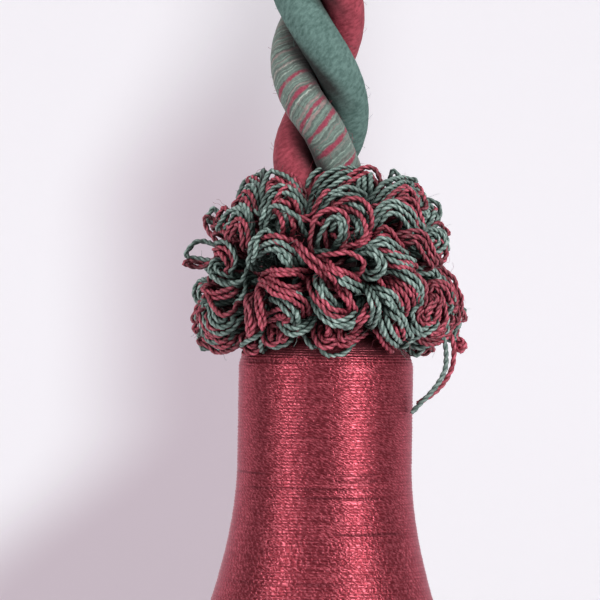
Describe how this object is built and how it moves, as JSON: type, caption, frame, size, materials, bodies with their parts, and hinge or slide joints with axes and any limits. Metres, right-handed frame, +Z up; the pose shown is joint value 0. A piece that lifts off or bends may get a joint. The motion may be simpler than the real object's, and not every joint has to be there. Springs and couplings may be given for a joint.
{
  "type": "curtain tieback tassel",
  "caption": "Curtain tieback tassel: a laid rope with a hanging eye, a ruff of looped two-colour yarn, a bell head wound with satin thread, and a skirt of hanging strands.",
  "frame": {"origin": "the point inside the top of the rope's hanging eye where a hook bears; everything hangs below it", "axes": "+Z up along the hanging rope, +X to the right seen from the front, -Y towards the front"},
  "size_m": [0.0691, 0.0448, 0.3114],
  "materials": {
    "wound_thread": "satin burgundy thread, closely wound",
    "burgundy_yarn": "soft burgundy yarn",
    "green_yarn": "matt grey-green yarn",
    "banded_yarn": "grey-green yarn with burgundy bands",
    "ruff_yarn": "twisted green and burgundy yarns",
    "skirt_yarn": "twisted burgundy yarn with some green"
  },
  "bodies": {
    "root": {"rope_strand_burgundy": "burgundy_yarn", "rope_strand_green": "green_yarn", "rope_strand_banded": "banded_yarn", "eye_seizing": "wound_thread", "loop_ruff": "ruff_yarn", "wound_head": "wound_thread", "skirt": "skirt_yarn"}
  },
  "joints": []
}
